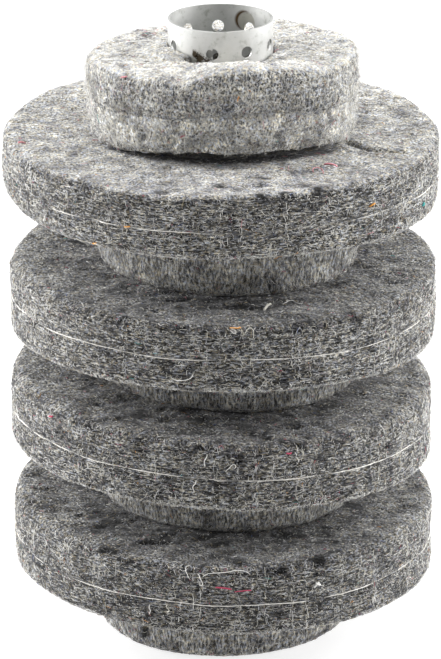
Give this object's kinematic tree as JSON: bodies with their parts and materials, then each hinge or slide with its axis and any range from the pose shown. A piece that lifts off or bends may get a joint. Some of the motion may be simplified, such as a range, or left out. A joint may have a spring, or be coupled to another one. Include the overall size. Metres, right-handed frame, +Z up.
{
  "type": "felt polishing wheel",
  "caption": "Stack of thick needled wool felt discs, large between small, threaded on a thin perforated metal core tube with an open bore, for polishing or filtering.",
  "frame": {"origin": "on the tube's axis, at the bottom face of the lowest disc, which is also the tube's lower end", "axes": "+Z up along the tube towards its open rim, -Y to the front, where the tube's lap seam is"},
  "size_m": [0.08, 0.08, 0.117],
  "materials": {
    "core_tube": "satin",
    "large_disc_felt": "fuzzy needled wool",
    "small_disc_felt": "fuzzy needled wool",
    "pale_felt": "fuzzy needled wool",
    "scrim": "plain woven"
  },
  "bodies": {
    "core": {"core_tube": "core_tube", "small_1_lower_web": "small_disc_felt", "small_1_scrim": "scrim", "small_1_upper_web": "small_disc_felt"},
    "large_1": {"large_1_lower_web": "large_disc_felt", "large_1_scrim": "scrim", "large_1_upper_web": "large_disc_felt"},
    "small_2": {"small_2_lower_web": "small_disc_felt", "small_2_scrim": "scrim", "small_2_upper_web": "small_disc_felt"},
    "large_2": {"large_2_lower_web": "large_disc_felt", "large_2_scrim": "scrim", "large_2_upper_web": "large_disc_felt"},
    "small_3": {"small_3_lower_web": "small_disc_felt", "small_3_scrim": "scrim", "small_3_upper_web": "small_disc_felt"},
    "large_3": {"large_3_lower_web": "large_disc_felt", "large_3_scrim": "scrim", "large_3_upper_web": "large_disc_felt"},
    "small_4": {"small_4_lower_web": "small_disc_felt", "small_4_scrim": "scrim", "small_4_upper_web": "small_disc_felt"},
    "large_4": {"large_4_lower_web": "large_disc_felt", "large_4_scrim": "scrim", "large_4_upper_web": "large_disc_felt"},
    "small_5": {"small_5_lower_web": "pale_felt", "small_5_scrim": "scrim", "small_5_upper_web": "pale_felt"}
  },
  "joints": [
    {"name": "large_1_lift", "type": "slide", "parent": "core", "child": "large_1", "axis": [0, 0, 1], "range_m": [0, 0.1043]},
    {"name": "small_2_lift", "type": "slide", "parent": "large_1", "child": "small_2", "axis": [0, 0, 1], "range_m": [0, 0.0915]},
    {"name": "large_2_lift", "type": "slide", "parent": "small_2", "child": "large_2", "axis": [0, 0, 1], "range_m": [0, 0.0799]},
    {"name": "small_3_lift", "type": "slide", "parent": "large_2", "child": "small_3", "axis": [0, 0, 1], "range_m": [0, 0.0676]},
    {"name": "large_3_lift", "type": "slide", "parent": "small_3", "child": "large_3", "axis": [0, 0, 1], "range_m": [0, 0.0572]},
    {"name": "small_4_lift", "type": "slide", "parent": "large_3", "child": "small_4", "axis": [0, 0, 1], "range_m": [0, 0.0453]},
    {"name": "large_4_lift", "type": "slide", "parent": "small_4", "child": "large_4", "axis": [0, 0, 1], "range_m": [0, 0.0323]},
    {"name": "small_5_lift", "type": "slide", "parent": "large_4", "child": "small_5", "axis": [0, 0, 1], "range_m": [0, 0.0211]}
  ]
}
